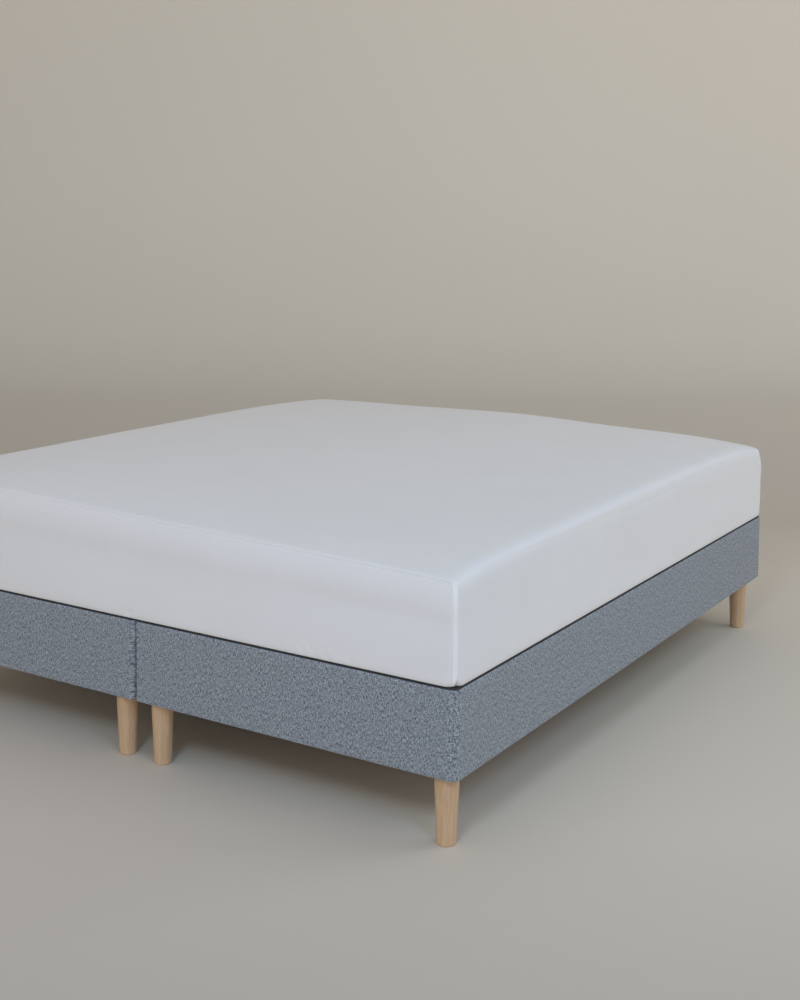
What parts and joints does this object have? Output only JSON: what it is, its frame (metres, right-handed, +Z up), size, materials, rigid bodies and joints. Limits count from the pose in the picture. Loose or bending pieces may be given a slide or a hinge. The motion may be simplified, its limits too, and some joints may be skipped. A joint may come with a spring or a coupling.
{
  "type": "fitted sheet on a mattress and two-section upholstered bed base",
  "caption": "Smooth white fitted sheet with sewn corners, stretched over a mattress on an upholstered bed base with tapered wooden legs.",
  "frame": {"origin": "on the floor under the middle of the bed", "axes": "+Z up, +Y towards the head end, +X to the right as seen from the foot end"},
  "size_m": [1.8, 2, 0.6317],
  "materials": {
    "white_cotton": "smooth plain-woven white cotton, faintly cool, matte with a slight sheen",
    "mattress_ticking": "off-white mattress ticking, matte",
    "black_deck_cloth": "black non-woven cloth over the top of a base section",
    "grey_blue_upholstery": "grey-blue flecked plain-woven upholstery fabric, matte",
    "pale_oak": "pale wood with a fine upright grain, clear satin lacquer"
  },
  "bodies": {
    "root": {"fitted_sheet": "white_cotton", "mattress": "mattress_ticking", "deck_cloth_left": "black_deck_cloth", "deck_cloth_right": "black_deck_cloth", "base_left": "grey_blue_upholstery", "base_right": "grey_blue_upholstery", "leg_left_foot_outer": "pale_oak", "leg_left_foot_inner": "pale_oak", "leg_left_head_outer": "pale_oak", "leg_left_head_inner": "pale_oak", "leg_right_foot_outer": "pale_oak", "leg_right_foot_inner": "pale_oak", "leg_right_head_outer": "pale_oak", "leg_right_head_inner": "pale_oak"}
  },
  "joints": []
}
